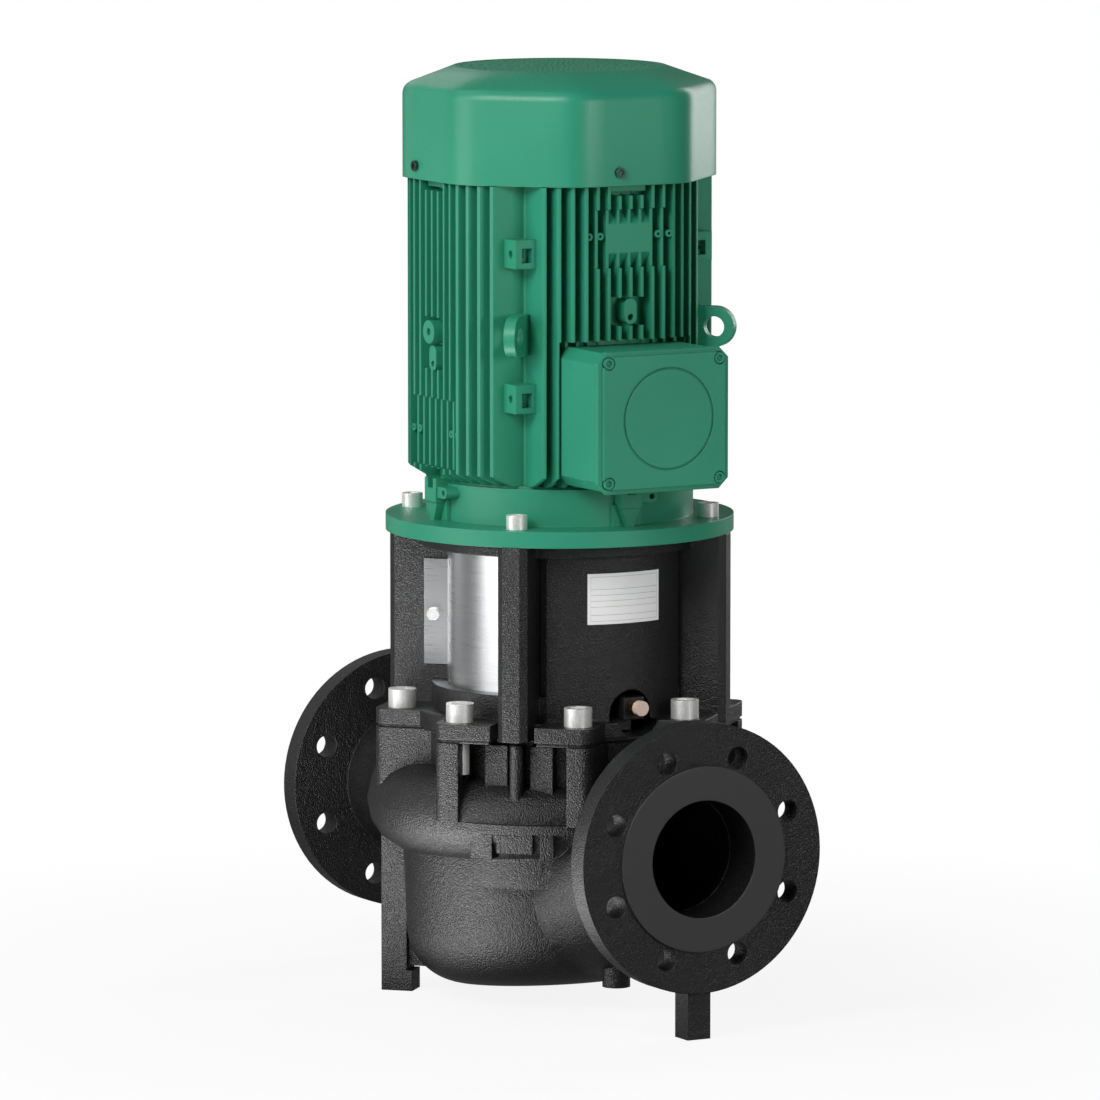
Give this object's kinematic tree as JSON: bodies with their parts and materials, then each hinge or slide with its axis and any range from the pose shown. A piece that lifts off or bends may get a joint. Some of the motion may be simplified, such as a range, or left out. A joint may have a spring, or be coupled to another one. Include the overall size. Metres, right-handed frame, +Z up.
{
  "type": "dry rotor in-line pump",
  "caption": "Vertical dry rotor in-line centrifugal pump with flanged cast volute casing, bolted lantern, finned green flange motor, terminal box and fan cover.",
  "frame": {"origin": "centre of the suction flange's raised face, on the common axis of both pipe connections", "axes": "+X leaves the pump through the suction flange, +Z points up along the shaft; the shaft axis is 250 mm behind the origin and the feet stand 155 mm below it"},
  "size_m": [0.55, 0.3106, 0.8086],
  "materials": {
    "cast_iron_black": "satin",
    "green_paint": "satin",
    "zinc_steel": "satin",
    "stainless": "satin",
    "bronze": "matte",
    "brass": "satin",
    "copper": "satin",
    "copper_wire": "gloss",
    "shaft_steel": "satin",
    "bearing_steel": "gloss",
    "core_steel": "matte",
    "seal_carbon": "matte",
    "rubber": "matte",
    "black_plastic": "matte",
    "label_film": "satin"
  },
  "bodies": {
    "pump": {"volute_casing": "cast_iron_black", "casing_wear_ring": "bronze", "drain_plug": "cast_iron_black", "casing_cover": "cast_iron_black", "cover_o_ring": "rubber", "joint_bolts": "zinc_steel", "lantern": "cast_iron_black", "guard_left": "stainless", "guard_right": "stainless", "guard_screws": "zinc_steel", "vent_valve_body": "brass", "label_plate": "label_film", "seal_seat": "seal_carbon", "drive_end_shield": "green_paint", "motor_flange_bolts": "zinc_steel", "lower_bearing_outer": "bearing_steel", "stator_core": "core_steel", "stator_windings": "copper_wire", "motor_frame": "green_paint", "upper_bearing_outer": "bearing_steel", "fan_end_shield": "green_paint", "shield_screws": "zinc_steel", "fan_cover": "green_paint", "fan_cover_screws": "zinc_steel", "terminal_box": "green_paint", "box_gasket": "rubber", "box_lid": "green_paint", "lid_screws": "zinc_steel", "terminal_board": "black_plastic", "terminal_studs": "brass", "entry_plugs": "black_plastic"},
    "rotor": {"impeller": "bronze", "impeller_key": "shaft_steel", "impeller_nut": "zinc_steel", "stub_shaft": "shaft_steel", "stub_shaft_screws": "shaft_steel", "seal_head": "seal_carbon", "seal_spring": "stainless", "deflector_ring": "rubber", "motor_shaft": "shaft_steel", "shaft_key": "shaft_steel", "rotor_core": "core_steel", "lower_bearing_inner": "bearing_steel", "upper_bearing_inner": "bearing_steel", "fan": "black_plastic", "fan_circlip": "shaft_steel"},
    "lower_balls": {"lower_bearing_balls": "bearing_steel"},
    "upper_balls": {"upper_bearing_balls": "bearing_steel"},
    "vent": {"vent_screw": "copper"}
  },
  "joints": [
    {"name": "shaft_spin", "type": "hinge", "parent": "pump", "child": "rotor", "pos_m": [-0.25, 0, 0.3], "axis": [0, 0, 1], "continuous": true},
    {"name": "lower_balls_spin", "type": "hinge", "parent": "pump", "child": "lower_balls", "pos_m": [-0.25, 0, 0.288], "axis": [0, 0, 1], "continuous": true},
    {"name": "upper_balls_spin", "type": "hinge", "parent": "pump", "child": "upper_balls", "pos_m": [-0.25, 0, 0.5476], "axis": [0, 0, 1], "continuous": true},
    {"name": "vent_turn", "type": "hinge", "parent": "pump", "child": "vent", "pos_m": [-0.13, 0.008, 0.1125], "axis": [1, 0, 0], "range_deg": [0, 360]}
  ],
  "couplings": [
    {"joint": "lower_balls_spin", "follows": "shaft_spin", "ratio": 0.3846},
    {"joint": "upper_balls_spin", "follows": "shaft_spin", "ratio": 0.4}
  ]
}
